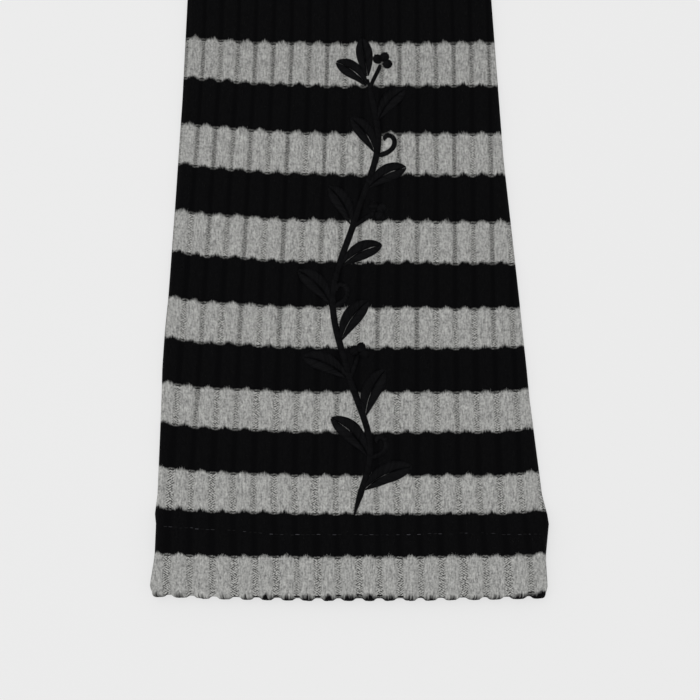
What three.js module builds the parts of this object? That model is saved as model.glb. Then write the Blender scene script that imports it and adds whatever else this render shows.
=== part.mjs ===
// A pair of flared leg warmers in brushed rib knit, laid flat side by side on a table.
// Each one is a tube sewn from a front and a back panel, with its hem and top edge turned in.
// Millimetres: X runs across the pair, Y from the hems to the tops, Z up from the table.
import * as THREE from "three";

const { lerp, mapLinear } = THREE.MathUtils;

// Sizes of one leg warmer laid flat
const length = 420; // hem fold to top fold
const legSpacing = 300; // from the middle of one hem to the middle of the other
const hemDepth = 35; // hem fold to its line of stitches
const topHemDepth = 20; // top fold to its line of stitches
const turnedPastStitches = 2; // cloth beyond the stitches on the turned-in edge
const rampLength = 10; // over which the outside settles from two layers to one

// Sizes of the cloth
const wall = 1.4; // thickness in the grooves
const ribHeight = 0.8; // rib crown above the groove
const ribScallop = 0.8; // how far a rib reaches past the grooves along a folded edge
const layerGap = 0.3; // between cloth layers, and between panels at the side seams
const hollowHalf = 0.3; // half the space left inside the flattened tube
const sideRadius = 3; // how the outside rounds over into the side seams
const foldSteps = 4; // straight runs round a folded edge

// The flattened tube's left and right edges, measured from the middle of its hem. It was laid
// with a slight twist, so the right edge runs in faster than the left one.
const outline = [
  { up: 0, left: -98, right: 99.5 },
  { up: 5, left: -101.7, right: 101.2 },
  { up: 20, left: -99.8, right: 100.9 },
  { up: 37, left: -98.6, right: 101.6 },
  { up: 43, left: -99.2, right: 101.2 },
  { up: 51, left: -97.8, right: 99.2 },
  { up: 102, left: -95.6, right: 92.3 },
  { up: 153, left: -92.1, right: 87.3 },
  { up: 204, left: -88.5, right: 81.6 },
  { up: 255, left: -85, right: 76.8 },
  { up: 306, left: -82.4, right: 72.6 },
  { up: 360, left: -79.8, right: 69.5 },
  { up: 420, left: -77.5, right: 66.8 },
];

// The ribs fan out towards the hem, and crowd together at the upper right, where the tube turns
// under. Four of the grooves are placed here, and the others lie evenly between them.
const lastGroove = 17;
const placedGrooves = [
  { groove: 0, column: "outerLeft" },
  { groove: 3, column: "innerLeft" },
  { groove: 13, column: "innerRight" },
  { groove: lastGroove, column: "outerRight" },
];
const ribFan = [
  { up: 12, outerLeft: -92.8, innerLeft: -58, innerRight: 47.7, outerRight: 93.3 },
  { up: 55, outerLeft: -91.6, innerLeft: -59.4, innerRight: 45.7, outerRight: 88.2 },
  { up: 140, outerLeft: -84.6, innerLeft: -55.5, innerRight: 45, outerRight: 84 },
  { up: 275, outerLeft: -74.4, innerLeft: -47.8, innerRight: 44.8, outerRight: 71.3 },
  { up: 420, outerLeft: -69, innerLeft: -43.5, innerRight: 41, outerRight: 63 },
];

// Half a groove's floor, as a share of the distance from groove to groove
const grooveFloor = [
  { up: 12, share: 0.16 },
  { up: 142, share: 0.12 },
  { up: 274, share: 0.09 },
  { up: 420, share: 0.08 },
];
const grooveSlope = 0.1; // the slope beside the floor, as such a share
const shoulderRelief = 0.85; // rib height beside a groove, as a share of the crown's

// How far the side corners sit above the middle of the hem, fading out up the leg
const hemBow = [
  { up: 0, rise: 2 },
  { up: 51, rise: 1 },
  { up: 153, rise: 0 },
];

// Layers of cloth in each half of the tube
const hemEdge = hemDepth + turnedPastStitches;
const topEdge = length - topHemDepth - turnedPastStitches;
const layers = [
  { up: hemEdge + 1, count: 2 },
  { up: hemEdge + 1 + rampLength, count: 1 },
  { up: topEdge - 1 - rampLength, count: 1 },
  { up: topEdge - 1, count: 2 },
];

const foldRadius = wall + layerGap / 2;

// The value in a table's column at a height up the leg, straight between its rows
function lookUp(table, up, column) {
  const next = table.findIndex((row) => row.up >= up);
  if (next === 0) return table[0][column];
  if (next < 0) return table[table.length - 1][column];
  const [below, above] = [table[next - 1], table[next]];
  return mapLinear(up, below.up, above.up, below[column], above[column]);
}

// Groove level of the outside, measured from the middle of the flattened tube
function halfHeight(up) {
  return hollowHalf + wall + (lookUp(layers, up, "count") - 1) * (wall + layerGap);
}

function edgeAt(up, side) {
  return lookUp(outline, up, side < 0 ? "left" : "right");
}

// The place across of a groove, or of a share of the way from one groove to the next
function ribAt(up, groove) {
  const next = placedGrooves.slice(1, -1).findIndex((placed) => groove < placed.groove);
  const upper = next < 0 ? placedGrooves.length - 1 : next + 1;
  const [from, to] = [placedGrooves[upper - 1], placedGrooves[upper]];
  const [start, stop] = [lookUp(ribFan, up, from.column), lookUp(ribFan, up, to.column)];
  return mapLinear(groove, from.groove, to.groove, start, stop);
}

function floorAt(up) {
  return lookUp(grooveFloor, up, "share");
}

function lipAt(up) {
  return floorAt(up) + grooveSlope;
}

// The cloth's way from the turned-in top edge, over the top fold, down the outside and round
// the hem fold. turn goes from 0 on the outside to a half turn on the turned-in cloth.
function clothPath() {
  const path = [{ up: topEdge, turn: Math.PI, end: 1 }];
  for (let step = foldSteps; step >= 0; step--) {
    path.push({ up: length - foldRadius, turn: (Math.PI * step) / foldSteps, end: 1 });
  }
  const outside = [...outline, ...layers, { up: length - topHemDepth }]
    .map((row) => row.up)
    .filter((up) => up > foldRadius && up < length - foldRadius)
    .sort((a, b) => b - a);
  for (const up of outside) {
    path.push({ up, turn: 0, end: 0 });
  }
  for (let step = 0; step <= foldSteps; step++) {
    path.push({ up: foldRadius, turn: (Math.PI * step) / foldSteps, end: -1 });
  }
  path.push({ up: hemEdge, turn: Math.PI, end: -1 });
  return path;
}

// Columns of a ribbed face: the place across at each height, and the share of a rib's height
function ribColumns() {
  const columns = [];
  for (let groove = 0; groove <= lastGroove; groove++) {
    if (groove > 0) columns.push({ x: (up) => ribAt(up, groove - 0.5), relief: 1 });
    for (const side of [-1, 1]) {
      const lip = { x: (up) => ribAt(up, groove + side * lipAt(up)), relief: shoulderRelief };
      const floor = { x: (up) => ribAt(up, groove + side * floorAt(up)), relief: 0 };
      columns.push(...(side < 0 ? [lip, floor] : [floor, lip]));
    }
  }
  for (const share of [0.4, 0.75, 0.93, 1]) {
    for (const side of [-1, 1]) {
      const outer = side < 0 ? 0 : lastGroove;
      const lip = (up) => ribAt(up, outer + side * lipAt(up));
      const column = { x: (up) => lerp(lip(up), edgeAt(up, side), share), relief: 1 };
      side < 0 ? columns.unshift(column) : columns.push(column);
    }
  }
  return columns;
}

// Columns of a plain face, closest together where it rounds into the side seams
function plainColumns() {
  const shares = [0.25, 0.5, 0.75];
  const columns = shares.map((share) => ({
    x: (up) => lerp(edgeAt(up, -1), edgeAt(up, 1), share),
    relief: 0,
  }));
  for (const inward of [1, 0.5, 0.17, 0]) {
    columns.unshift({ x: (up) => edgeAt(up, -1) + inward * sideRadius, relief: 0 });
    columns.push({ x: (up) => edgeAt(up, 1) - inward * sideRadius, relief: 0 });
  }
  return columns;
}

// One point of a panel's face. radius is the face's distance from the middle of the fold:
// the right side of the cloth runs outside it and the wrong side inside it.
function facePoint(station, column, radius, side) {
  const { up, turn, end } = station;
  const depth = foldRadius - radius * Math.cos(turn);
  const [left, right] = [edgeAt(up, -1), edgeAt(up, 1)];
  const x = mapLinear(column.x(up), left, right, left + depth, right - depth);
  const fromEdge = Math.min(x - left - depth, right - depth - x);

  const ribOut = column.relief * ribHeight * Math.max(Math.cos(turn), 0);
  const height = halfHeight(up) - depth + ribOut;
  const rounding = Math.max(sideRadius - depth, layerGap);
  const intoSide = Math.max(1 - fromEdge / rounding, 0);
  const rise = (height - layerGap / 2) * Math.sqrt(Math.max(1 - intoSide ** 2, 0));

  const along = (radius + column.relief * ribScallop) * Math.sin(turn);
  const acrossShare = mapLinear(column.x(up), left, right, -1, 1);
  const bow = lookUp(hemBow, up, "rise") * acrossShare ** 2;
  return new THREE.Vector3(
    x,
    up + end * along + bow,
    halfHeight(up) + side * (layerGap / 2 + rise),
  );
}

// Joins two rows of points that run the same way but may differ in number
function zip(triangles, rowA, rowB, points) {
  let [a, b] = [0, 0];
  while (a < rowA.length - 1 || b < rowB.length - 1) {
    const endOfA = a === rowA.length - 1;
    const endOfB = b === rowB.length - 1;
    if (endOfB || (!endOfA && points[rowA[a + 1]].x <= points[rowB[b + 1]].x)) {
      triangles.push([rowA[a], rowA[a + 1], rowB[b]]);
      a++;
    } else {
      triangles.push([rowA[a], rowB[b + 1], rowB[b]]);
      b++;
    }
  }
}

// Fills the space between two rows of equally many points
function strip(triangles, upper, lower) {
  for (let i = 0; i < upper.length - 1; i++) {
    triangles.push([upper[i], lower[i], upper[i + 1]]);
    triangles.push([upper[i + 1], lower[i], lower[i + 1]]);
  }
}

// One panel as a closed wall: its right side, its wrong side, and the rims that join them
function panelGeometry({ side, ribbed }, hand) {
  const points = [];
  const path = clothPath();
  const face = (columns, radius) =>
    path.map((station) =>
      columns.map((column) => points.push(facePoint(station, column, radius, side)) - 1),
    );
  const rightSide = face(ribbed ? ribColumns() : plainColumns(), foldRadius);
  const wrongSide = face(plainColumns(), layerGap / 2);

  const triangles = [];
  for (let row = 0; row < path.length - 1; row++) {
    const [right, rightNext] = [rightSide[row], rightSide[row + 1]];
    const [wrong, wrongNext] = [wrongSide[row], wrongSide[row + 1]];
    strip(triangles, right, rightNext);
    strip(triangles, [...wrong].reverse(), [...wrongNext].reverse());
    strip(triangles, [wrong[0], right[0]], [wrongNext[0], rightNext[0]]);
    strip(triangles, [right.at(-1), wrong.at(-1)], [rightNext.at(-1), wrongNext.at(-1)]);
  }
  zip(triangles, rightSide[0], wrongSide[0], points);
  zip(triangles, wrongSide.at(-1), rightSide.at(-1), points);

  const outward = side * hand > 0;
  const geometry = new THREE.BufferGeometry().setFromPoints(points);
  geometry.setIndex(triangles.flatMap(([a, b, c]) => (outward ? [a, b, c] : [a, c, b])));
  geometry.scale(hand, 1, 1);
  geometry.computeVertexNormals();
  return geometry;
}

// Light grey marl yarn. The black stripes are knitted in and have no thickness of their own.
const marlKnit = { color: 0xa2a29f, roughness: 0.95, metalness: 0 };

const panels = [
  { name: "front", side: 1, ribbed: true },
  { name: "back", side: -1, ribbed: false },
];

// The two leg warmers are mirror images
const legs = [
  { name: "left", x: -legSpacing / 2, hand: 1 },
  { name: "right", x: legSpacing / 2, hand: -1 },
];

function legWarmer(leg) {
  const group = new THREE.Group();
  for (const panel of panels) {
    const geometry = panelGeometry(panel, leg.hand);
    const mesh = new THREE.Mesh(geometry, new THREE.MeshStandardMaterial(marlKnit));
    mesh.name = `${leg.name}_${panel.name}`;
    group.add(mesh);
  }
  group.position.x = leg.x;
  return group;
}

const pair = new THREE.Group();
for (const leg of legs) {
  pair.add(legWarmer(leg));
}
pair.position.y = -new THREE.Box3().setFromObject(pair).getCenter(new THREE.Vector3()).y;

export default pair;
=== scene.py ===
# A pair of flared leg warmers in brushed rib knit, laid flat on a pale floor.
# Shapes are worked out in millimetres and turned to metres when a mesh is made.
import math
import bmesh
import bpy
import numpy as np
from mathutils import Matrix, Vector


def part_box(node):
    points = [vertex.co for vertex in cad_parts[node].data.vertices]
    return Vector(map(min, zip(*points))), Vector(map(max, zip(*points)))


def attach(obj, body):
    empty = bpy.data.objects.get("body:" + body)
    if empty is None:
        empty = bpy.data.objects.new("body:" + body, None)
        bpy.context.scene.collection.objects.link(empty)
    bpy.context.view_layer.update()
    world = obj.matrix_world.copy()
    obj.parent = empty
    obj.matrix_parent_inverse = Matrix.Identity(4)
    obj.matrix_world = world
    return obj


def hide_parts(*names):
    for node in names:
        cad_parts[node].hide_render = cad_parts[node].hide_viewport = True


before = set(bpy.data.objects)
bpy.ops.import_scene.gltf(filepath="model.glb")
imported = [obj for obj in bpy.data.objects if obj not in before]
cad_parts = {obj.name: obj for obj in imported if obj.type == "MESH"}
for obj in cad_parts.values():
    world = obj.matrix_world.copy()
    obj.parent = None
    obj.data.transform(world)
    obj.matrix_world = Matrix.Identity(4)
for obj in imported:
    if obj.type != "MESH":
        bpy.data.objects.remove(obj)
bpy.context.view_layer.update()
rng = np.random.default_rng(7)
mm = 0.001

# One leg warmer laid flat, as cut and sewn
cloth = {
    "length": 420,          # hem fold to top fold
    "hemDepth": 35,         # hem fold to its stitches
    "topHemDepth": 20,      # top fold to its stitches
    "turnedPastStitches": 2,
    "edgeRoom": 1,          # past a turned-in edge
    "rampLength": 10,       # two layers of cloth settle to one from there
    "wall": 1.4,            # cloth thickness in the grooves
    "ribHeight": 0.8,
    "solidScallop": 0.8,    # the solid's ribs reach this far past its grooves at a fold
    "ribScallop": 1.1,      # the cloth's ribs reach this far past the fold
    "grooveTuck": 0.3,      # and its grooves lie this far inside it
    "layerGap": 0.3,
    "seamGap": 0.1,         # front to back along the side seams
    "hollowHalf": 0.3,
    "sideRadius": 3,
    "slopeRounding": 0.3,   # share of a groove's floor and slope
    "crownDrop": 0.28,      # a crown's sides are this share lower than its middle
    "stitchReach": 1.5,     # a line of stitches is felt this far to each side
    "stitchFlatten": 0.55,  # and holds the ribs down by this share
    "stitchDip": 0.25,
    "backGroove": 0.45,     # the back's ribs are pressed flat, with shallow grooves between
    "backWidening": 1.4,
    "lastGroove": 17,       # counted from 0 at the left
}
foldRadius = cloth["wall"] + cloth["layerGap"] / 2

# What comes and goes: a share of the grooves' width and of the ribs' height, and the courses in mm
unevenness = {
    "groove": {"size": 0.35, "perRib": 2.3, "perMm": 0.03, "seed": 9},
    "rib": {"size": 0.12, "perRib": 2.1, "perMm": 0.05, "seed": 3},
    "course": {"size": 0.3, "perRib": 1.1, "perMm": 0.02, "seed": 5},
}

# Tables hold a list for each column, and lookUp reads between their rows.
# Left and right edges of the flattened tube, from the middle of the hem
outline = {
    "up": [0, 2, 5, 20, 37, 43, 51, 102, 118, 138, 153, 204, 225, 255, 306, 360, 420],
    "left": [
        -99.2, -101.1, -101.7, -99.3, -98.6, -99.3, -98, -95.9, -95.5, -94.1, -92.5, -88.7, -87.3,
        -85.2, -82.6, -79.8, -77.5,
    ],
    "right": [
        100.3, 101.2, 102, 101, 102.6, 101.7, 99.4, 92.8, 91.3, 89.1, 87.6, 81.9, 79.5, 77.2, 73.3,
        70, 67.2,
    ],
}

# The ribs fan out towards the hem, and at the upper right they run round to the back. Four of
# the grooves are placed here, and the others lie evenly between them. floor is half a groove's
# floor, as a share of the pitch.
placedGrooves = {"outerLeft": 0, "innerLeft": 3, "innerRight": 13, "outerRight": 17}
ribFan = {
    "up": [12, 55, 140, 275, 420],
    "outerLeft": [-92.8, -91.6, -84.6, -74.4, -69],
    "innerLeft": [-58, -59.4, -55.5, -47.8, -43.5],
    "innerRight": [47.7, 45.7, 45, 44.8, 41],
    "outerRight": [93.3, 88.2, 84, 81.2, 74.7],
    "floor": [0.16, 0.147, 0.12, 0.09, 0.08],
}
grooveSlope = 0.1  # beside the floor, as a share of the pitch

# The side corners sit above the middle of the hem
hemBow = {"up": [0, 51, 153], "left": [2.2, 1, 0], "right": [1.3, 1, 0]}

# The hem's line of stitches was sewn by hand and eye, and wanders
hemLine = {
    "across": [-97, -79, -53, -38, 30, 62, 80, 97],
    "up": [35.8, 35.3, 34.2, 33, 32.8, 33.6, 32.5, 32.2],
}

# The black yarn of the inside starts this far above the hem fold, so that it just shows
foldShow = {
    "across": [-90, -82, -72, -61, -50, -41, -20, 0, 10, 30, 41, 51, 61, 71, 84, 92, 101],
    "high": [0, 0.15, 0.15, 0.6, 0.6, 0.7, 1, 1.3, 1.15, 1, 0.65, 0.1, 0.25, 0.4, 0.6, 1.5, 1.6],
}
foldShowShares = (1.05, 0.8)  # share of that rise in a groove and on a crown

# The stitches are stretched round the fold, so the rise grows before it fades out
foldFade = {"up": [1.2, 2.8, 9], "share": [1, 1.45, 0]}

# The marl is drawn a little darker up the leg
marlShade = {"up": [60, 110, 235, 280], "share": [0.99, 0.97, 0.96, 0.9]}

# The knitted courses curve up towards the left side, and a little at the right. leftEdge and
# rightEdge are what they rise besides, close beside the seams, from and to seamSide as shares of
# half the width.
seamSide = (0.78, 0.97)
courseBowPower = {"left": 1.7, "right": 2}
courseBow = {
    "up": [0, 23, 45, 64, 110, 170, 195, 230, 264, 284, 420],
    "left": [1.5, 1, 2.6, 3.6, 4.3, 5.4, 5.2, 5.6, 4.9, 2.6, 2],
    "right": [1.3, 1.3, 0.6, 0.6, 0.4, -0.7, -1, 0, 0.5, 0.8, 0.6],
    "leftEdge": [0.6, 0.6, 0.3, 0.8, 0.9, 0.7, 0.7, 0.4, 0.1, 0.8, 0.5],
    "rightEdge": [0, 0.1, 1.2, 1.4, 1, 0, 0.2, -0.1, -0.3, 0, 0],
}

# Heights of the stripes from the hem fold up, grey and black by turns
stripeHeights = [21.3, 22.1, 18.9, 22.6, 20.1, 23, 20.2, 23.6, 21, 23.9]
stripeHeights += [20.7, 24.6, 21.4, 25.6, 20.5, 23.5, 21, 24, 22.2]


def lookUp(table, at, column, key="up"):  # straight between the table's rows
    return np.interp(at, table[key], table[column])


def layerCount(up):  # layers of cloth in each half of the tube
    past = cloth["turnedPastStitches"] + cloth["edgeRoom"]
    hemEdge = cloth["hemDepth"] + past
    topEdge = cloth["length"] - cloth["topHemDepth"] - past
    ramp = cloth["rampLength"]
    stops = [hemEdge, hemEdge + ramp, topEdge - ramp, topEdge]
    return np.interp(up, stops, [2, 1, 1, 2])


def halfHeight(up):
    thickness = cloth["wall"] + cloth["layerGap"]
    return cloth["hollowHalf"] + cloth["wall"] + (layerCount(up) - 1) * thickness


def smooth(value, low, high):
    t = np.clip((value - low) / (high - low), 0, 1)
    return t * t * (3 - 2 * t)


def softNoise(a, b, seed):  # a few mixed waves, for unevenness without a grain
    value = 0
    for k in range(1, 5):
        turnA, turnB = math.sin(seed * 1.7 + k * 2.3), math.cos(seed * 2.9 + k * 1.1)
        value = value + np.sin(a * turnA * k * 1.3 + b * turnB * k * 0.9 + seed * k) / k
    return value / 2


def unevenAt(kind, wale, up):
    made = unevenness[kind]
    return made["size"] * softNoise(wale * made["perRib"], up * made["perMm"], made["seed"])


def grooveFloor(wale, up):  # half a groove's floor, a little wider in some grooves than in others
    return lookUp(ribFan, up, "floor") * (1 + unevenAt("groove", np.floor(wale + 0.5), up))


def ribRelief(wale, up):  # 0 in a groove, 1 on a rib's crown
    floor = grooveFloor(wale, up)
    toGroove = np.abs((wale + 0.5) % 1 - 0.5)
    rounding = cloth["slopeRounding"]
    side = smooth(toGroove, floor * (1 - rounding), floor + grooveSlope * (1 + rounding))
    crown = 1 - ((0.5 - toGroove) / (0.5 - floor)) ** 2 * cloth["crownDrop"]
    return side * crown


def alongFan(value, up, fromGroove):  # between grooves and places across, either way
    grooves = list(placedGrooves.values())
    spots = [lookUp(ribFan, up, column) for column in placedGrooves]
    given, wanted = (grooves, spots) if fromGroove else (spots, grooves)
    runs = []
    for k in range(len(grooves) - 1):
        share = (value - given[k]) / (given[k + 1] - given[k])
        runs.append(wanted[k] + share * (wanted[k + 1] - wanted[k]))
    return np.where(value < given[1], runs[0], np.where(value < given[2], runs[1], runs[2]))


def acrossAt(wale, up):  # grooves lie at whole wales, from 0 at the left
    return alongFan(wale, up, fromGroove=True)


def waleAt(x, up):
    return alongFan(x, up, fromGroove=False)


def sideShare(x, up):  # -1 at the left edge, 1 at the right edge
    left, right = lookUp(outline, up, "left"), lookUp(outline, up, "right")
    return (2 * x - left - right) / (right - left)


def bowRise(x, up):  # how far the hem's corners have risen at this place
    share = sideShare(x, up)
    return np.where(share < 0, lookUp(hemBow, up, "left"), lookUp(hemBow, up, "right")) * share ** 2


def courseRise(x, up):  # how far the knitted courses have curved up at this place
    share = sideShare(x, up)
    left = lookUp(courseBow, up, "left") * np.clip(-share, 0, 1) ** courseBowPower["left"]
    right = lookUp(courseBow, up, "right") * np.clip(share, 0, 1) ** courseBowPower["right"]
    leftEdge = lookUp(courseBow, up, "leftEdge") * smooth(-share, *seamSide)
    rightEdge = lookUp(courseBow, up, "rightEdge") * smooth(share, *seamSide)
    return left + right + leftEdge + rightEdge


def stripeAt(course):  # whole numbers at the changes of yarn, 0 at the hem fold
    edges = np.concatenate([[0], np.cumsum(stripeHeights)])
    inside = np.interp(course, edges, np.arange(len(edges)))
    below = np.minimum(course, 0) / stripeHeights[1]
    above = np.maximum(course - edges[-1], 0) / stripeHeights[-2]
    return inside + below + above


def stitchDip(x, up):  # the lines of stitches pull the cloth in
    reach = cloth["stitchReach"]
    hemDip = np.exp(-((up - hemLineAt(x)) / reach) ** 2)
    topDip = np.exp(-((up - cloth["length"] + cloth["topHemDepth"]) / reach) ** 2)
    return hemDip + topDip


def hemLineAt(x):
    return lookUp(hemLine, x, "up", key="across")


# A point of the cloth's right side. turn is how far the cloth has gone round a folded edge,
# end is -1 at the hem and 1 at the top, and side is 1 on the front and -1 on the back.
def clothPoint(wale, up, turn, end, side):
    depth = foldRadius * (1 - np.cos(turn))
    left, right = lookUp(outline, up, "left"), lookUp(outline, up, "right")
    flatX = acrossAt(wale, up)
    x = left + depth + (flatX - left) / (right - left) * (right - left - 2 * depth)
    fromEdge = np.minimum(x - left - depth, right - depth - x)

    relief = ribRelief(wale, up)
    uneven = 1 + unevenAt("rib", np.floor(wale + 0.5), up)
    relief = relief * uneven * (1 - cloth["stitchFlatten"] * stitchDip(x, up))
    onOutside = np.cos(turn) > 0.9
    dip = cloth["stitchDip"] * stitchDip(x, up) * onOutside
    if side < 0:
        widened = np.minimum(relief * cloth["backWidening"], 1)
        ribOut = (widened - 1) * cloth["backGroove"] * np.maximum(np.cos(turn), 0)
    else:
        ribOut = relief * cloth["ribHeight"] * np.maximum(np.cos(turn), 0)
    height = halfHeight(up) - depth + (ribOut - dip)
    rounding = np.maximum(cloth["sideRadius"] - depth, cloth["layerGap"])
    intoSide = np.clip(1 - fromEdge / rounding, 0, 1)
    rise = (height - cloth["seamGap"] / 2) * np.sqrt(1 - intoSide ** 2)

    reach = relief * cloth["ribScallop"] - np.maximum(1 - relief, 0) * cloth["grooveTuck"]
    along = (foldRadius + reach) * np.sin(turn)
    z = halfHeight(up) + side * (cloth["seamGap"] / 2 + rise)
    y = up + end * along + bowRise(flatX, up)
    return np.stack(np.broadcast_arrays(x, y, z), axis=-1)


# Where each leg warmer lies, from the frame
legs = {}
for name, hand in [("left", 1), ("right", -1)]:
    low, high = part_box(name + "_front")
    outer = -min(outline["left"]) * hand
    edge = low.x / mm if hand > 0 else high.x / mm
    legs[name] = {"hand": hand, "x": edge + outer, "y": low.y / mm + cloth["solidScallop"]}


def place(points, leg):  # from one leg warmer's own millimetres to the frame's metres
    moved = points * np.array([leg["hand"], 1, 1]) + np.array([leg["x"], leg["y"], 0])
    return moved * mm


def putAttribute(mesh, name, values):
    attribute = mesh.attributes.new(name, "FLOAT", "POINT")
    attribute.data.foreach_set("value", np.asarray(values, np.float32).ravel())


def finishPiece(piece, material):
    piece.data.materials.append(material)
    for face in piece.data.polygons:
        face.use_smooth = True
    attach(piece, "root")
    return piece


def newPiece(name, data):
    piece = bpy.data.objects.new(name, data)
    bpy.context.scene.collection.objects.link(piece)
    return piece


# Materials

def srgb(code):  # "#rrggbb" to the linear colour that a shader takes
    parts = [int(code[k:k + 2], 16) / 255 for k in (1, 3, 5)]
    linear = [c / 12.92 if c <= 0.04045 else ((c + 0.055) / 1.055) ** 2.4 for c in parts]
    return (*linear, 1)


def fillInputs(tree, node, inputs):  # with constants, nodes, or a node and which of its outputs
    for key, value in inputs.items() if isinstance(inputs, dict) else enumerate(inputs):
        if isinstance(value, tuple) and isinstance(value[0], bpy.types.Node):
            tree.links.new(value[0].outputs[value[1]], node.inputs[key])
        elif isinstance(value, bpy.types.Node):
            tree.links.new(next(o for o in value.outputs if o.enabled), node.inputs[key])
        else:
            node.inputs[key].default_value = value


def addNode(tree, kind, inputs=(), **settings):
    node = tree.nodes.new("ShaderNode" + kind)
    for key, value in settings.items():
        setattr(node, key, value)
    fillInputs(tree, node, inputs)
    return node


def newMaterial(name):
    material = bpy.data.materials.new(name)
    material.use_nodes = True
    tree = material.node_tree
    return material, tree, tree.nodes["Principled BSDF"]


knit = {
    "marlLight": "#bcbcb9",    # crowns, where the brushed nap catches the light
    "marlMid": "#717170",
    "toneRange": (1.0, 1.7),   # of the noises that mix the two
    "blotchShare": 0.7,
    "threadLight": "#b4b4b1",  # open mesh in the grooves
    "meshGapShade": "#383837",   # gaps between the stitches there, painted dark with the shade that falls into them
    "black": "#060607",
    "blackNap": "#0b0b0c",
    "narrowShade": 0.6,        # narrow grooves near the top get less light
    "narrowFloor": (0.085, 0.125),
    "grooveWander": 0.07,      # share of the pitch
    "wanderAlong": 0.12,       # patches for each mm
    "napInFloor": 0.45,        # the nap starts this far out on a groove's floor
    "napFull": 0.08,           # and is full this far past it, as a share of the pitch
    "meshAcross": 1.9,         # cross-hatched mesh, drawn half as coarse again so that it shows, mm
    "meshAlong": 1.25,
    "meshJitter": 1.3,         # radians
    "meshLean": (0.4, 0.6),    # it leans to one side below the first tone of the blotches
    "meshWeight": 0.8,         # beside the grain's
    "meshContrast": (0.36, 0.54),  # in narrow and in wide grooves
    "wideFloor": (0.13, 0.165),
    "meshRelief": 0.6,
    "tuftRise": 1.9,           # the lower yarn's nap stands this far over each change of yarn
    "tuftShares": (-0.1, 1.1),
    "feather": 0.11,
    "stripePitch": 22,         # usual height of a stripe, mm
    "sharpChange": (-0.045, 0.045),  # in the grooves one yarn stops and the other starts
    "softChange": (-0.075, 0.145),   # on the crowns their naps mix
    "dashAt": 0.42,            # the two yarns change places in one course on each side of a change
    "dashHalf": 0.26,
    "dashReach": 0.15,         # to each side of the groove's middle, as a share of the pitch
    "dashEdge": (0.8, 1.2),
    "dashTones": (0.35, 0.65),
    "dashLight": (0.04, 0.5),
}

# Patches for each mm across and along the leg, then their detail and roughness. The fibres are
# drawn about five times too coarse, so that they show. The grain is the loops' real pitch.
knitNoises = {
    "tuft": (1 / 1.3, 0.12, 3.0, 0.7),
    "fibre": (1 / 0.9, 1 / 3.4, 2.0, 0.6),
    "grain": (1.0, 1 / 1.1, 2.0, 0.5),
    "blotch": (0.45, 0.2, 4.0, 0.6),
}
noiseRange = (0.3, 0.7)  # most of a noise's values lie between these


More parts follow.
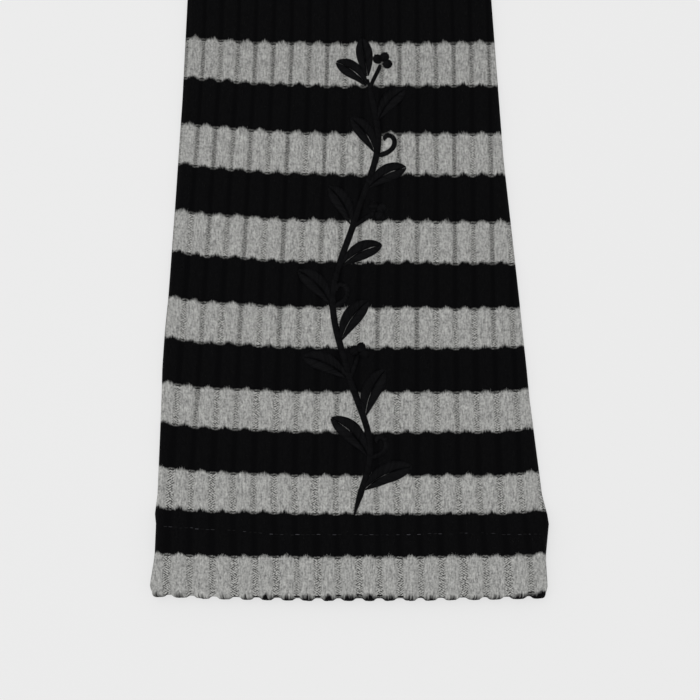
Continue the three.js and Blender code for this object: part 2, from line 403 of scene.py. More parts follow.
# Brushed rib knit in marl and black yarn: soft and matte, with an open mesh in the grooves
def ribKnit():
    material, tree, shader = newMaterial("brushed_rib_knit")
    names = ("wale", "course", "stripe", "across", "floor", "shade")
    wale, course, stripe, across, floor, crownShade = (
        (addNode(tree, "Attribute", attribute_name=name), "Fac") for name in names
    )
    millimetres = addNode(tree, "CombineXYZ", (across, course, 0.0))
    noises = []
    for perAcross, perAlong, detail, roughness in knitNoises.values():
        scaled = addNode(
            tree, "VectorMath", {0: millimetres, 1: (perAcross, perAlong, 1.0)}, operation="MULTIPLY"
        )
        settings = {"Vector": scaled, "Scale": 1.0, "Detail": detail, "Roughness": roughness}
        noises.append((addNode(tree, "TexNoise", settings), 0))
    tuft, fibre, grain, blotch = noises

    # Distance from the nearest groove, as a share of the pitch, wandering a little
    wanderAt = addNode(tree, "CombineXYZ", (wale, course, 0.0))
    wanderPatches = (1.0, knit["wanderAlong"], 1.0)
    wanderScaled = addNode(tree, "VectorMath", {0: wanderAt, 1: wanderPatches}, operation="MULTIPLY")
    wander = addNode(tree, "TexNoise", {"Vector": wanderScaled, "Scale": 1.0, "Detail": 3.0})
    wanderMost = knit["grooveWander"]
    wanderBy = addNode(tree, "MapRange", {0: (wander, 0), 3: -wanderMost, 4: wanderMost})
    toGroove = addNode(tree, "Math", (wale, 0.5), operation="PINGPONG")
    fromGroove = addNode(tree, "Math", (toGroove, wanderBy), operation="ADD")
    lip = addNode(tree, "Math", (floor, knit["napFull"]), operation="ADD")
    inFloor = addNode(tree, "Math", (floor, knit["napInFloor"]), operation="MULTIPLY")
    crown, arch = (
        addNode(tree, "MapRange", (distance, low, high, 0.0, 1.0), interpolation_type="SMOOTHSTEP")
        for distance, low, high in ((fromGroove, inFloor, lip), (toGroove, floor, 0.5))
    )

    # Nap that stands up over the change of yarn in pointed tufts
    tuftBy = addNode(tree, "MapRange", (tuft, *noiseRange, *knit["tuftShares"]), clamp=False)
    tuftRise = addNode(tree, "Math", (tuftBy, arch), operation="MULTIPLY")
    shift = addNode(
        tree, "Math", (tuftRise, knit["tuftRise"] / knit["stripePitch"]), operation="MULTIPLY"
    )
    stripeNow = addNode(tree, "Math", (stripe, shift), operation="SUBTRACT")
    turned = addNode(tree, "Math", (stripeNow, math.pi), operation="MULTIPLY")
    wave = addNode(tree, "Math", (turned,), operation="SINE")
    feather = addNode(tree, "MapRange", {0: fibre, 3: -knit["feather"], 4: knit["feather"]})
    feathered = addNode(tree, "Math", (feather, crown, wave), operation="MULTIPLY_ADD")
    allBlack, allGrey = (
        addNode(tree, "Mix", {0: crown, 2: sharp, 3: soft})
        for sharp, soft in zip(knit["sharpChange"], knit["softChange"])
    )
    grey = addNode(tree, "MapRange", (feathered, allBlack, allGrey, 0.0, 1.0))

    # In the grooves the yarns change places just above and just below a change, as thin lenses
    change = addNode(tree, "Math", (stripe,), operation="ROUND")
    pastChange = addNode(tree, "Math", (stripe, change), operation="SUBTRACT")
    dashStep = knit["dashHalf"] / knit["stripePitch"]
    nearChange = addNode(tree, "Math", (pastChange,), operation="ABSOLUTE")
    dashAlong = addNode(
        tree, "Math", (nearChange, 1 / dashStep, -knit["dashAt"] / knit["dashHalf"]),
        operation="MULTIPLY_ADD",
    )
    dashSquare = addNode(tree, "Math", (dashAlong, 2.0), operation="POWER")
    dashAcross = addNode(tree, "Math", (toGroove, 1 / knit["dashReach"]), operation="MULTIPLY")
    dashEnds = addNode(tree, "Math", (dashAcross, 4.0), operation="POWER")
    lens = addNode(tree, "Math", (dashEnds, dashSquare), operation="ADD")
    dash = addNode(tree, "MapRange", (lens, *knit["dashEdge"], 1.0, 0.0))
    greyTurned = addNode(tree, "Math", (1.0, grey), operation="SUBTRACT")
    greyShown = addNode(tree, "Mix", {0: dash, 2: grey, 3: greyTurned})

    # The mesh in the grooves is cross-hatched, and stronger in some places than in others; the dark of
    # its gaps is painted shade
    alongTurn = addNode(
        tree, "Math", (course, 2 * math.pi / knit["meshAlong"]), operation="MULTIPLY"
    )
    jitterMost = knit["meshJitter"]
    jitter = addNode(tree, "MapRange", (tuft, *noiseRange, -jitterMost, jitterMost))
    alongJitter = addNode(tree, "Math", (alongTurn, jitter), operation="ADD")
    waves = []
    for acrossRate in (2 * math.pi / knit["meshAcross"], -2 * math.pi / knit["meshAcross"]):
        hatch = addNode(tree, "Math", (across, acrossRate, alongJitter), operation="MULTIPLY_ADD")
        waves.append(addNode(tree, "Math", (hatch,), operation="SINE"))
    lean = addNode(tree, "MapRange", (blotch, *knit["meshLean"], 0.0, 1.0))
    mesh = addNode(tree, "Mix", {0: lean, 2: waves[0], 3: waves[1]})
    grainy = addNode(tree, "MapRange", (grain, *noiseRange, -1.0, 1.0), clamp=False)
    meshGrain = addNode(tree, "Math", (mesh, knit["meshWeight"], grainy), operation="MULTIPLY_ADD")
    contrast = addNode(tree, "MapRange", (floor, *knit["wideFloor"], *knit["meshContrast"]))
    meshShown = addNode(
        tree, "Math", (meshGrain, contrast, 0.5), operation="MULTIPLY_ADD", use_clamp=True
    )

    # Colour of the marl yarn, shaded by its groove, and of the black yarn
    fine = addNode(tree, "Math", (fibre, grain), operation="ADD")
    tone = addNode(tree, "Math", (blotch, knit["blotchShare"], fine), operation="MULTIPLY_ADD")
    toneShare = addNode(tree, "MapRange", (tone, *knit["toneRange"], 0.0, 1.0))
    darkShare = addNode(tree, "Math", (crown, toneShare), operation="MULTIPLY")
    nap, groove, dark = (
        (addNode(tree, "Mix", {0: share, 6: srgb(knit[low]), 7: srgb(knit[high])}, data_type="RGBA"), 2)
        for share, low, high in (
            (toneShare, "marlMid", "marlLight"),
            (meshShown, "meshGapShade", "threadLight"),
            (darkShare, "black", "blackNap"),
        )
    )
    narrow = addNode(tree, "MapRange", (floor, *knit["narrowFloor"], knit["narrowShade"], 1.0))
    shade = addNode(tree, "Mix", {0: crown, 2: narrow, 3: crownShade})
    marl = addNode(tree, "Mix", {0: crown, 6: groove, 7: nap}, data_type="RGBA")
    marlShaded = addNode(tree, "VectorMath", {0: (marl, 2), 3: shade}, operation="SCALE")
    dashTone = addNode(tree, "MapRange", (blotch, *knit["dashTones"], *knit["dashLight"]))
    dashLit = addNode(tree, "Mix", {0: dash, 2: 1.0, 3: dashTone})
    marlDashed = addNode(tree, "VectorMath", {0: marlShaded, 3: dashLit}, operation="SCALE")
    colour = addNode(tree, "Mix", {0: greyShown, 6: dark, 7: marlDashed}, data_type="RGBA")

    # Relief of fibres on the crowns and of the mesh in the grooves
    meshRelief = addNode(tree, "Math", (meshShown, knit["meshRelief"]), operation="MULTIPLY")
    relief = addNode(tree, "Mix", {0: crown, 2: meshRelief, 3: tone})
    bump = addNode(tree, "Bump", {"Height": relief, "Strength": 0.35, "Distance": 0.0004})
    fillInputs(tree, shader, {
        "Base Color": (colour, 2), "Normal": bump, "Roughness": 0.95,
        "Specular IOR Level": 0.03, "Sheen Weight": 0.02, "Sheen Roughness": 0.5,
    })
    return material


def byTone(tree, dark, light):  # each hair or thread has a tone of its own
    tone = addNode(tree, "Attribute", attribute_name="tone")
    return addNode(tree, "Mix", {0: (tone, "Fac"), 6: srgb(dark), 7: srgb(light)}, data_type="RGBA")


# Loose ends of the same yarns, brushed up out of the cloth
def napFibre():
    material, tree, shader = newMaterial("brushed_nap_fibre")
    grey = addNode(tree, "Attribute", attribute_name="grey")
    marl = byTone(tree, knit["marlMid"], knit["marlLight"])
    dark = byTone(tree, knit["black"], knit["blackNap"])
    colour = addNode(tree, "Mix", {0: (grey, "Fac"), 6: (dark, 2), 7: (marl, 2)}, data_type="RGBA")
    fillInputs(tree, shader, {
        "Base Color": (colour, 2), "Roughness": 0.9, "Specular IOR Level": 0.05, "Sheen Weight": 0.03,
    })
    return material


thread = {
    "sewing": "#0c0c0d",   # polyester sewing thread, with a faint shine
    # the lighter colour is a painted glint, shown on a few stitches
    "sewingGlint": "#444448",
    "satin": "#020203",    # rayon embroidery thread, smooth and a little glossy
    "satinLight": "#0e0e10",
}


# Spun polyester sewing thread: near black, slightly shiny
def sewingThread():
    material, tree, shader = newMaterial("spun_sewing_thread")
    spot = addNode(tree, "TexCoord")
    ply = addNode(tree, "TexWave", {"Vector": (spot, "Object"), "Scale": 500.0, "Distortion": 0.6})
    bump = addNode(tree, "Bump", {"Height": (ply, 1), "Strength": 0.4, "Distance": 0.0001})
    colour = byTone(tree, thread["sewing"], thread["sewingGlint"])
    fillInputs(tree, shader, {
        "Base Color": (colour, 2), "Normal": bump, "Roughness": 0.5, "Specular IOR Level": 0.1,
    })
    return material


# Rayon satin stitches: black, each thread catching a narrow line of light
def satinThread():
    material, tree, shader = newMaterial("rayon_satin_thread")
    colour = byTone(tree, thread["satin"], thread["satinLight"])
    fillInputs(tree, shader, {
        "Base Color": (colour, 2), "Roughness": 0.45, "Specular IOR Level": 0.06,
    })
    return material


shell = {
    "rowStep": 5,         # between rows where the cloth is plain
    "plainFrom": 7,       # from the hem fold
    "plainTo": 6,         # from the top fold
    "stitchRowStep": 1,   # closer rows beside the lines of stitches
    "stitchRowReach": 4,
    "foldSteps": 10,
    "foldRows": (2.8, 4.8),  # between the hem fold and the plain cloth
    "turnedInRows": {"top": 5, "hem": 8},
    "edgeColumns": 9,     # between the last groove and each side seam
    "edgeBunching": 1.6,  # they lie closer towards the seam
    "pastLastGroove": 0.1,
    "grooveSteps": {"front": 3, "back": 2},   # columns on each side of a groove's middle
    "crownColumns": {"front": 7, "back": 1},
    "crowding": 1.2,      # columns crowd together over this many wales at the right edge
    "thickness": 1.25,
}


# The cloth's way from the turned-in top edge, down the outside, to the turned-in hem
def clothStations():
    length = cloth["length"]
    topEdge = length - cloth["topHemDepth"] - cloth["turnedPastStitches"]
    hemEdge = cloth["hemDepth"] + cloth["turnedPastStitches"]
    plainUps = np.arange(shell["plainFrom"], length - shell["plainTo"], shell["rowStep"])
    reach = shell["stitchRowReach"]
    stitchUps = np.arange(-reach, reach + 0.1, shell["stitchRowStep"])
    ups = [shell["foldRows"], plainUps]
    ups += [cloth["hemDepth"] + stitchUps, length - cloth["topHemDepth"] + stitchUps]
    ups = np.unique(np.round(np.concatenate(ups), 2))[::-1]
    turns = np.linspace(0, math.pi, shell["foldSteps"] + 1)
    topRows, hemRows = (shell["turnedInRows"][end] for end in ("top", "hem"))
    rows = [(up, math.pi, 1) for up in np.linspace(topEdge, length - foldRadius, topRows)[:-1]]
    rows += [(length - foldRadius, turn, 1) for turn in turns[::-1]]
    rows += [(up, 0, 0) for up in ups]
    rows += [(foldRadius, turn, -1) for turn in turns]
    rows += [(up, math.pi, -1) for up in np.linspace(foldRadius, hemEdge, hemRows)[1:]]
    up, turn, end = (np.array(column, float) for column in zip(*rows))
    share = 1 - turn / (math.pi / 2)
    folded = np.where(end < 0, foldRadius * share, length - foldRadius * share)
    turnedIn = np.where(end < 0, -up, 2 * length - up)
    course = np.where(end == 0, up, np.where(turn < math.pi, folded, turnedIn))
    return up, turn, end, course


# The columns follow the ribs, so that no groove has a ragged edge. Where the right edge cuts into
# the ribs, the last columns crowd together inside it.
def clothColumns(up, panel):
    lip = lookUp(ribFan, up, "floor") + grooveSlope
    last = cloth["lastGroove"]
    leftEdge = waleAt(lookUp(outline, up, "left"), up)
    rightEdge = waleAt(lookUp(outline, up, "right"), up)
    shares = 1 - np.linspace(1, 0, shell["edgeColumns"] + 1)[1:] ** shell["edgeBunching"]
    columns = [-lip + (leftEdge + lip) * share for share in shares[::-1]]
    steps = shell["grooveSteps"][panel]
    crownShares = np.linspace(0, 1, shell["crownColumns"][panel] + 2)[1:-1]
    for groove in range(last + 1):
        columns += [groove + lip * k / steps for k in range(-steps, steps + 1)]
        if groove < last:
            columns += [groove + lip + share * (1 - 2 * lip) for share in crownShares]
    outermost = max(rightEdge.max(), last + lip.max() + shell["pastLastGroove"])
    columns += [last + lip + (outermost - last - lip) * share for share in shares]
    wale = np.stack(columns, axis=1)
    knee = (rightEdge - shell["crowding"])[:, None]
    crowded = knee + (wale - knee) * (shell["crowding"] / (outermost - knee))
    return np.where(wale > knee, crowded, wale)


def greyAt(wale, up, course):  # 1 where the marl yarn shows and 0 where the black one does
    toGroove = np.abs((wale + 0.5) % 1 - 0.5)
    arch = smooth(toGroove, grooveFloor(wale, up), 0.5)
    halfRise = 0.5 * knit["tuftRise"] / knit["stripePitch"]
    shifted = stripeAt(course) - arch * halfRise
    return np.sin(math.pi * shifted) > 0


def courseAt(wale, up):  # on the outside, away from the folds
    flatX = acrossAt(wale, up)
    return up + bowRise(flatX, up) - courseRise(flatX, up) + unevenAt("course", wale, up)


def clothShell(legName, panel):
    leg = legs[legName]
    side = 1 if panel == "front" else -1
    up, turn, end, course = clothStations()
    wale = clothColumns(up, panel)
    up, turn, end, course = (a[:, None] for a in (up, turn, end, course))
    points = clothPoint(wale, up, turn, end, side)
    rows, columns = wale.shape
    bm = bmesh.new()
    bmesh.ops.create_grid(bm, x_segments=columns - 1, y_segments=rows - 1, size=1)
    bm.verts.ensure_lookup_table()
    for vertex, spot in zip(bm.verts, place(points, leg).reshape(-1, 3)):
        vertex.co = spot
    if side * leg["hand"] > 0:  # the rows run from the top down, so the grid starts facing inwards
        bmesh.ops.reverse_faces(bm, faces=bm.faces)
    mesh = bpy.data.meshes.new(legName + "_" + panel + "_cloth")
    bm.to_mesh(mesh)
    bm.free()
    flatX = acrossAt(wale, up)
    turnedIn = turn > 3  # radians, half a turn being the inside
    courseHere = course + (courseAt(wale, up) - up) * np.where(turnedIn, -1, 1)
    shown = lookUp(foldShow, flatX, "high", key="across")
    shown = shown * np.interp(ribRelief(wale, up), [0, 1], foldShowShares)
    yarnCourse = courseHere - shown * lookUp(foldFade, course, "share")
    putAttribute(mesh, "wale", wale)
    putAttribute(mesh, "across", flatX)
    putAttribute(mesh, "course", courseHere)
    putAttribute(mesh, "stripe", stripeAt(yarnCourse))
    putAttribute(mesh, "floor", grooveFloor(wale, up))
    putAttribute(mesh, "shade", lookUp(marlShade, up + 0 * wale, "share"))
    piece = newPiece(mesh.name, mesh)
    wall = piece.modifiers.new("wall", "SOLIDIFY")
    wall.thickness = shell["thickness"] * mm
    wall.offset = -1
    return piece


knitMaterial = ribKnit()
for legName in legs:
    for panel in ("front", "back"):
        piece = clothShell(legName, panel)
        finishPiece(piece, knitMaterial)
        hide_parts(legName + "_" + panel)
        print("cloth", piece.name, len(piece.data.polygons), "faces before the wall")


# Small things: one base shape each, copied many times over from arrays

def baseShape(build):  # points and triangles of a small closed shape
    bm = bmesh.new()
    build(bm)
    bmesh.ops.triangulate(bm, faces=bm.faces)
    bmesh.ops.recalc_face_normals(bm, faces=bm.faces)
    bm.verts.index_update()
    points = np.array([vertex.co for vertex in bm.verts])
    triangles = np.array([[vertex.index for vertex in face.verts] for face in bm.faces])
    bm.free()
    return points, triangles


# Copies of a base shape, each given by where it starts and by its three directions. Bulge
# lifts a copy's middle, as a thread that is held down at its ends.
def joinCopies(name, shape, start, across, over, along, leg, bulge=0, **perCopy):
    points, triangles = shape
    px, py, pz = (points[None, :, k, None] for k in range(3))
    lift = bulge * np.sin(math.pi * np.clip(pz, 0, 1))
    height = np.linalg.norm(over, axis=1)[:, None, None]
    spots = start[:, None] + px * across[:, None] + py * over[:, None] + pz * along[:, None]
    spots = spots + lift * over[:, None] / np.maximum(height, 1e-9)
    spots = place(spots.reshape(-1, 3), leg)
    corners = triangles if leg["hand"] > 0 else triangles[:, ::-1]
    faces = corners[None] + np.arange(len(start))[:, None, None] * len(points)
    faces = faces.reshape(-1, 3)
    mesh = bpy.data.meshes.new(name)
    mesh.vertices.add(len(spots))
    mesh.vertices.foreach_set("co", spots.astype(np.float32).ravel())
    mesh.loops.add(faces.size)
    mesh.loops.foreach_set("vertex_index", faces.astype(np.int32).ravel())
    mesh.polygons.add(len(faces))
    mesh.polygons.foreach_set("loop_start", np.arange(0, faces.size, 3, dtype=np.int32))
    mesh.polygons.foreach_set("loop_total", np.full(len(faces), 3, np.int32))
    mesh.update(calc_edges=True)
    for attribute, values in perCopy.items():
        putAttribute(mesh, attribute, np.repeat(values, len(points)))
    return newPiece(name, mesh)


def unit(vectors):
    return vectors / np.maximum(np.linalg.norm(vectors, axis=-1, keepdims=True), 1e-9)


def surfaceFrame(wale, up, side):  # a place on the outside, with its directions up and out
    step = 0.4
    here = clothPoint(wale, up, 0 * up, 0 * up, side)
    above = clothPoint(wale, up + step, 0 * up, 0 * up, side)
    beside = clothPoint(wale + step / 10, up, 0 * up, 0 * up, side)
    upward = unit(above - here)
    outward = unit(np.cross(beside - here, above - here)) * side
    return here, upward, outward


nap = {
    "general": 20000,      # hairs all over a front
    "atChange": 105,       # more of them on each rib where the yarn changes
    "length": (1, 2.6),    # mm
    "radius": 0.13,        # drawn about seven times too thick, so that it shows
    "lift": (0.02, 0.16),  # rise for each mm of length
    "lean": 0.13,          # sideways spread for each mm of length
    "sink": 0.1,           # how deep the root sits in the cloth
    "thickness": (0.7, 1.2),  # times the radius
    "tone": (0.15, 1),
    "ends": (3.0, 6.0),    # bare from the hem fold and from the top fold
    "fromSeam": 1.2,
    "crownFrom": (0.25, 0.8),  # it grows where the ribs are higher than a share between these
    "ribSpread": 0.2,      # at a change of yarn, round each rib's middle
    "ribSides": (0.12, 0.88),
    "changeFromSeam": 1,
    "changeBelow": (-0.5, 1.2),
    "changeRise": 0.5,     # the roots lie higher on the middle of a rib
    "changeLength": (0.6, 1.4),
    "longer": 0.6,         # the hairs there are longer too
}


def waleLimits(up, margin):  # the first and the last wale, a margin inside the seams
    left, right = lookUp(outline, up, "left"), lookUp(outline, up, "right")
    return waleAt(left + margin, up), waleAt(right - margin, up)


# The nap is brushed up the leg. A hair takes the colour of the yarn that it grows from, so at
# each change of yarn the lower one stands over the upper one in soft tufts.
def napPlaces():
    up = rng.uniform(nap["ends"][0], cloth["length"] - nap["ends"][1], nap["general"])
    wale = rng.uniform(*waleLimits(up, nap["fromSeam"]))
    waleSets, upSets, lengthSets = [wale], [up], [rng.uniform(*nap["length"], len(up))]
    changes = np.cumsum(stripeHeights)[:-1]
    for change in changes:
        ribs = np.repeat(np.arange(-1, cloth["lastGroove"] + 1), nap["atChange"])
        share = np.clip(0.5 + rng.normal(0, nap["ribSpread"], len(ribs)), *nap["ribSides"])
        rise = 1 - np.abs(share - 0.5) * 2
        wale = ribs + share
        below = rng.uniform(*nap["changeBelow"], len(ribs)) - rise * nap["changeRise"]
        up = change - below + courseRise(acrossAt(wale, change + 0 * wale), change)
        leftEdge, rightEdge = waleLimits(up, nap["changeFromSeam"])
        inside = (wale > leftEdge) & (wale < rightEdge)
        waleSets.append(wale[inside])
        upSets.append(up[inside])
        size = rng.uniform(*nap["changeLength"], len(ribs)) * (nap["longer"] + nap["longer"] * rise)
        lengthSets.append(size[inside])
    wale, up, size = (np.concatenate(group) for group in (waleSets, upSets, lengthSets))
    onCrown = ribRelief(wale, up) > rng.uniform(*nap["crownFrom"], len(wale))
    return wale[onCrown], up[onCrown], size[onCrown]


def brushedNap(legName):
    leg = legs[legName]
    wale, up, size = napPlaces()
    count = len(wale)
    root, upward, outward = surfaceFrame(wale, up, 1)
    sideways = np.cross(upward, outward)
    lean = rng.normal(0, nap["lean"], count)[:, None]
    lift = rng.uniform(*nap["lift"], count)[:, None]
    direction = unit(upward + sideways * lean + outward * lift)
    along = direction * size[:, None]
    radius = nap["radius"] * rng.uniform(*nap["thickness"], count)[:, None]
    across = unit(np.cross(direction, outward)) * radius
    over = unit(np.cross(across, direction)) * radius
    grey = greyAt(wale, up, courseAt(wale, up)) * lookUp(marlShade, up, "share")
    tone = rng.uniform(*nap["tone"], count)
    shape = baseShape(hairShape)
    start = root - outward * nap["sink"]
    return joinCopies(legName + "_nap", shape, start, across, over, along, leg, grey=grey, tone=tone)


def hairShape(bm):  # three sides and a point
    bmesh.ops.create_cone(
        bm, segments=3, radius1=1, radius2=0, depth=1, cap_ends=True,
        matrix=Matrix.Translation((0, 0, 0.5)),
    )
    bmesh.ops.remove_doubles(bm, verts=bm.verts, dist=0.01)


stitching = {
    "pitch": 2.7,       # along the hem, mm
    "fromSeam": 2.5,
    "length": 2.3,
    "width": 0.42,
    "depth": 0.34,
    "mostlyDark": 3.5,  # few stitches get a painted glint
    "sink": (0, 0.12),  # some lie deeper in the nap than others
    "wander": 0.15,
}


# A line of lockstitch holds the hem and the turned-in top edge, on the front and the back
def seamStitches(legName):
    leg = legs[legName]
    starts, alongs, overs = [], [], []
    lines = [hemLineAt, lambda x: cloth["length"] - cloth["topHemDepth"] + 0 * x]
    for side in (1, -1):
        for line in lines:
            middleUp = float(line(np.array(0.0)))
            left = float(lookUp(outline, middleUp, "left")) + stitching["fromSeam"]
            right = float(lookUp(outline, middleUp, "right")) - stitching["fromSeam"]
            x = np.arange(left, right, stitching["pitch"])
            sink = rng.uniform(*stitching["sink"], len(x))
            aside = rng.normal(0, stitching["wander"], len(x))
            ends = []
            for offset in (-0.5, 0.5):
                at = x + offset * stitching["length"]
                up = line(at) + aside
                ends.append(clothPoint(waleAt(at, up), up, 0 * up, 0 * up, side))
            start, stop = ends
            start[:, 2] -= side * sink
            stop[:, 2] -= side * sink
            starts.append(start)
            alongs.append(stop - start)
            overs.append(np.tile([0, 0, float(side)], (len(x), 1)))
    start, along, over = (np.concatenate(group) for group in (starts, alongs, overs))
    across = unit(np.cross(over, along)) * stitching["width"] / 2
    over = unit(np.cross(along, across)) * stitching["depth"] / 2
    shape = baseShape(lambda bm: bmesh.ops.create_uvsphere(
        bm, u_segments=6, v_segments=6, radius=1,
        matrix=Matrix.Translation((0, 0, 0.5)) @ Matrix.Diagonal((1, 1, 0.5, 1)),
    ))
    # the few stitches with a high tone get the painted glint
    tone = rng.uniform(0, 1, len(start)) ** stitching["mostlyDark"]
    return joinCopies(legName + "_stitches", shape, start, across, over, along, leg, tone=tone)


# A leafy sprig in satin stitch, up the front of each leg
sprig = {
    "threadPitch": 0.46,   # real satin lies at about 0.4 mm
    "threadWidth": 0.62,
    "bulge": 0.4,
    "fullBulge": 4,         # mm of run that reach it, and its least and most share
    "bulgeShares": (0.35, 1.1),
    "shortestRun": 0.5,
    "liesAt": (0.5, 0.35),  # shares of a rib's height, over a groove and more on a crown
    "strokeLean": 0.5,
    "bluntEnd": 0.25,
    "tapers": {"stem": 0.06, "curl": 0.12, "stalk": 0.1},
    "stem": [(3, 43), (11, 78), (-1, 118), (-8, 155), (4, 196), (15, 232), (10, 266)],
    "stemWidth": 3.2,
    "leafCount": 12,
    "firstLeaf": 0.7,         # of a leaf's gap, up from the foot of the stem
    "leafLength": (28, 20),   # lowest and highest leaf
    "leafWidth": (10.5, 8.5),
    "leafAngle": 46,          # from the stem, degrees
    "leafAngleVaries": 5,
    "leafBend": 0.35,
    "leafRoundness": 0.8,
    "leafStart": 1.5,
    "veinGap": 0.12,
    "curlsAtLeaves": (1, 5, 9),     # a tendril curls away opposite these leaves
    "berriesAtLeaves": (3, 7, 11),  # and a stalk of three berries opposite these
    "curlReach": 24,
    "curlFrom": 1.3,          # from the stem, radians
    "curlTurn": 5.2,
    "curlTightens": 1.5,
    "curlStrides": 1.4,
    "stalkFrom": 0.65,
    "stalkShare": 0.8,        # of a curl's width
    "stalkLength": 13,
    "curlWidth": 2.5,
    "berrySize": 4.8,
    "berriesFrom": 0.4,       # past the stalk, and these three are shares of a berry's size
    "berryAhead": 0.55,
    "berryAside": 0.6,
    "berryInset": 0.15,
    "berryLeast": 0.2,        # half its shortest thread
    "slant": 0.9,             # how far each thread leans along its leaf, share of its run
}


def through(points, count):  # an even curve through the given points
    points = np.array(points, float)
    padded = np.vstack([2 * points[0] - points[1], points, 2 * points[-1] - points[-2]])
    t = np.linspace(0, len(points) - 1 - 1e-6, count)
    k = t.astype(int)
    u = (t - k)[:, None]
    a, b, c, d = (padded[k + j] for j in range(4))
    curve = 2 * b + (c - a) * u + (2 * a - 5 * b + 4 * c - d) * u ** 2 + (3 * b - a - 3 * c + d) * u ** 3
    return curve / 2


def alongLine(line, step):  # evenly spaced places on a line, and its directions there
    gaps = np.linalg.norm(np.diff(line, axis=0), axis=1)
    reach = np.concatenate([[0], np.cumsum(gaps)])
    at = np.arange(0, reach[-1], step)
    spots = np.stack([np.interp(at, reach, line[:, k]) for k in range(2)], axis=1)
    directions = unit(np.gradient(spots, axis=0))
    return spots, directions, at / reach[-1]


def leftOf(directions):
    return np.stack([-directions[:, 1], directions[:, 0]], axis=1)


# Each function gives the two ends of its threads
def satinStroke(line, width, taper):
    spots, directions, share = alongLine(line, sprig["threadPitch"])
    full = np.minimum(1, np.minimum(share / taper, (1 - share) / taper) + sprig["bluntEnd"])
    half = (leftOf(directions) + directions * sprig["strokeLean"]) * (width / 2 * full)[:, None]
    return spots - half, spots + half


def satinLeaf(base, direction, length, width, bend):
    normal = np.array([-direction[1], direction[0]])
    t = np.linspace(0, 1, 40)[:, None]
    line = base + direction * length * t + normal * bend * (t * (1 - t)) * length
    spots, directions, share = alongLine(line, sprig["threadPitch"])
    normals = leftOf(directions)
    roundness = sprig["leafRoundness"]
    outlineAt = np.sin(math.pi * np.clip(share, 0, 1) ** roundness) ** roundness
    ends = []
    for side in (1, -1):
        inner = spots + side * normals * sprig["veinGap"]
        lean = directions * (width / 2 * outlineAt * sprig["slant"])[:, None]
        outer = spots + side * normals * (width / 2 * outlineAt)[:, None] + lean
        ends.append((inner, outer))
    return [np.concatenate(group) for group in zip(*ends)]


def satinBerry(middle, size, angle):
    direction = np.array([math.cos(angle), math.sin(angle)])
    offsets = np.arange(-size / 2 + sprig["berryInset"], size / 2, sprig["threadPitch"])[:, None]
    half = np.sqrt(np.maximum((size / 2) ** 2 - offsets ** 2, sprig["berryLeast"] ** 2))
    normal = np.array([-direction[1], direction[0]])
    return middle + offsets * direction - half * normal, middle + offsets * direction + half * normal


def satinCurl(start, heading, side):
    turns = np.linspace(0, 1, 90)
    angle = heading + side * sprig["curlTurn"] * turns ** sprig["curlTightens"]
    strides = sprig["curlReach"] / len(turns) * (sprig["curlStrides"] - turns)
    steps = np.stack([np.cos(angle), np.sin(angle)], axis=1) * strides[:, None]
    line = start + np.cumsum(steps, axis=0)
    return [satinStroke(line, sprig["curlWidth"], sprig["tapers"]["curl"])]


def satinBerries(start, heading):
    direction = np.array([math.cos(heading), math.sin(heading)])
    normal = np.array([-direction[1], direction[0]])
    size = sprig["berrySize"]
    stalk = start + np.linspace(0, 1, 30)[:, None] * direction * sprig["stalkLength"]
    tip = stalk[-1] + direction * size * sprig["berriesFrom"]
    ahead, aside = direction * size * sprig["berryAhead"], normal * size * sprig["berryAside"]
    spots = [tip + ahead, tip + aside, tip - aside]
    stalkWidth = sprig["curlWidth"] * sprig["stalkShare"]
    parts = [satinStroke(stalk, stalkWidth, sprig["tapers"]["stalk"])]
    return parts + [satinBerry(spot, size, heading + k) for k, spot in enumerate(spots)]


def sprigThreads():
    stem = through(sprig["stem"], 400)
    parts = [satinStroke(stem, sprig["stemWidth"], sprig["tapers"]["stem"])]
    gaps = np.gradient(stem, axis=0)
    for k in range(sprig["leafCount"]):
        share = (k + sprig["firstLeaf"]) / sprig["leafCount"]
        at = min(int(share * len(stem)), len(stem) - 1)
        side = 1 if k % 2 else -1
        stemAngle = math.atan2(gaps[at][1], gaps[at][0])
        varies = sprig["leafAngleVaries"] * math.sin(k * 2.1)
        heading = stemAngle + math.radians(sprig["leafAngle"] + varies) * side
        direction = np.array([math.cos(heading), math.sin(heading)])
        length, width = (np.interp(share, [0, 1], sprig[key]) for key in ("leafLength", "leafWidth"))
        base = stem[at] + direction * sprig["leafStart"]
        parts.append(satinLeaf(base, direction, length, width, -sprig["leafBend"] * side))
        if k in sprig["curlsAtLeaves"]:
            parts += satinCurl(stem[at], stemAngle - sprig["curlFrom"] * side, side)
        if k in sprig["berriesAtLeaves"]:
            parts += satinBerries(stem[at], stemAngle - sprig["stalkFrom"] * side)
    top = stem[-1] + unit(gaps[-1])
    parts.append(satinLeaf(top, unit(gaps[-1]), sprig["leafLength"][1], sprig["leafWidth"][1], 0))
    return [np.concatenate(group) for group in zip(*parts)]


def embroidery(legName):
    leg = legs[legName]
    low, more = sprig["liesAt"]
    ends = []
    for flat in sprigThreads():
        x, up = flat[:, 0], flat[:, 1]
        relief = ribRelief(waleAt(x, up), up)
        z = 2 * halfHeight(up) + cloth["ribHeight"] * (low + more * relief)
        ends.append(np.stack([x, up, z], axis=1))
    start, stop = ends
    along = stop - start
    size = np.linalg.norm(along, axis=1)
    start, along, size = (group[size > sprig["shortestRun"]] for group in (start, along, size))
    outward = np.tile([0.0, 0.0, 1.0], (len(start), 1))
    across = unit(np.cross(along, outward)) * sprig["threadWidth"] / 2
    over = unit(np.cross(across, along)) * sprig["threadWidth"] / 2
    shape = baseShape(threadShape)
    tone = rng.uniform(0, 1, len(start))
    shares = np.clip(size / sprig["fullBulge"], *sprig["bulgeShares"])
    bulge = sprig["bulge"] * shares[:, None, None]
    return joinCopies(
        legName + "_embroidery", shape, start, across, over, along, leg, bulge=bulge, tone=tone
    )


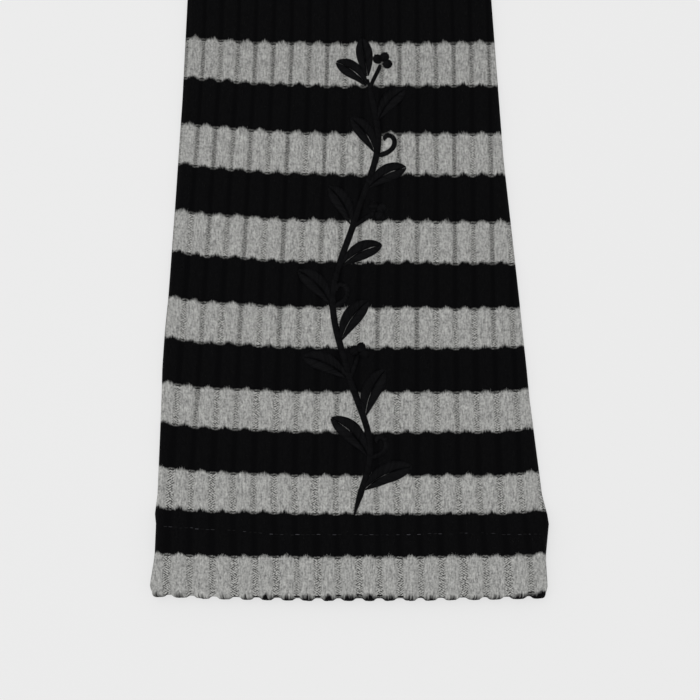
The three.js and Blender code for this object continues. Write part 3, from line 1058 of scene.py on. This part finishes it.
def threadShape(bm):  # one run of thread with a round back, bending in four steps
    bmesh.ops.create_cone(
        bm, segments=4, radius1=1, radius2=1, depth=1, cap_ends=True,
        matrix=Matrix.Translation((0, 0, 0.5)),
    )
    lengthwise = [e for e in bm.edges if abs(e.verts[0].co.z - e.verts[1].co.z) > 0.5]
    bmesh.ops.subdivide_edges(bm, edges=lengthwise, cuts=3)


napMaterial = napFibre()
for legName in legs:
    piece = finishPiece(brushedNap(legName), napMaterial)
    print("nap", piece.name, len(piece.data.polygons), "triangles")

sewingMaterial = sewingThread()
satinMaterial = satinThread()
for legName in legs:
    for piece, material in (
        (seamStitches(legName), sewingMaterial), (embroidery(legName), satinMaterial),
    ):
        finishPiece(piece, material)
        print("thread", piece.name, len(piece.data.polygons), "triangles")


# What lies round the object: floor, light and camera

studio = {
    "floorColour": "#7f7f7f",
    "floorGlow": 0.62,        # light that comes up through the sheet, so that shadows stay faint
    "floorSize": 6,           # m
    "skyStrength": 0.81,
    "lampPower": 10,          # W
    "lampSize": 1.6,          # m
    "lampPlace": (-0.75, 0.35, 1.9),
    "lens": 100,              # mm, long enough to look straight down on all of it
    "sensor": 36,
    "photoScale": 0.512,      # mm in each pixel of the photo
    "photoSide": 700,         # pixels
    "plainUp": 150,           # the leg is one layer of cloth there
    "hemRow": 598.5,          # pixel row of the hem fold
    "middleColumn": 348.5,    # pixel column of the hem's middle
}


# Matt opal acrylic, lit softly from below: pale and even, with hardly a shadow
def floorMaterial():
    material, tree, shader = newMaterial("matt_opal_acrylic")
    spot = addNode(tree, "TexCoord")
    grain = addNode(tree, "TexNoise", {"Vector": (spot, "Object"), "Scale": 900.0, "Detail": 2.0})
    bump = addNode(tree, "Bump", {"Height": (grain, 0), "Strength": 0.05, "Distance": 0.0002})
    fillInputs(tree, shader, {
        "Base Color": srgb(studio["floorColour"]), "Normal": bump, "Roughness": 0.9,
        "Specular IOR Level": 0.1, "Emission Color": (1, 1, 1, 1),
        "Emission Strength": studio["floorGlow"],
    })
    return material


bm = bmesh.new()
bmesh.ops.create_grid(bm, x_segments=1, y_segments=1, size=studio["floorSize"] / 2)
floorMesh = bpy.data.meshes.new("floor")
bm.to_mesh(floorMesh)
bm.free()
floorPiece = newPiece("floor", floorMesh)
floorPiece.data.materials.append(floorMaterial())

world = bpy.data.worlds.new("soft_daylight")
world.use_nodes = True
sky = world.node_tree.nodes["Background"]
fillInputs(world.node_tree, sky, {"Color": (1, 1, 1, 1), "Strength": studio["skyStrength"]})
bpy.context.scene.world = world

lamp = bpy.data.lights.new("softbox", "AREA")
lamp.shape = "SQUARE"
lamp.size = studio["lampSize"]
lamp.energy = studio["lampPower"]
lampPiece = newPiece("softbox", lamp)
lampPiece.location = studio["lampPlace"]
lampPiece.rotation_euler = (-lampPiece.location).to_track_quat("-Z", "Y").to_euler()

cameraData = bpy.data.cameras.new("camera")
cameraData.lens = studio["lens"]
cameraData.sensor_width = studio["sensor"]
camera = newPiece("camera", cameraData)
frameSide = studio["photoSide"] * studio["photoScale"]
middleOfPhoto = studio["photoSide"] / 2
camera.location = (
    (legs["left"]["x"] + (middleOfPhoto - studio["middleColumn"]) * studio["photoScale"]) * mm,
    (legs["left"]["y"] + (studio["hemRow"] - middleOfPhoto) * studio["photoScale"]) * mm,
    (frameSide * studio["lens"] / studio["sensor"] + 2 * halfHeight(studio["plainUp"])) * mm,
)
bpy.context.scene.camera = camera
bpy.context.scene.view_settings.view_transform = "Standard"
print("camera", tuple(round(c, 4) for c in camera.location))
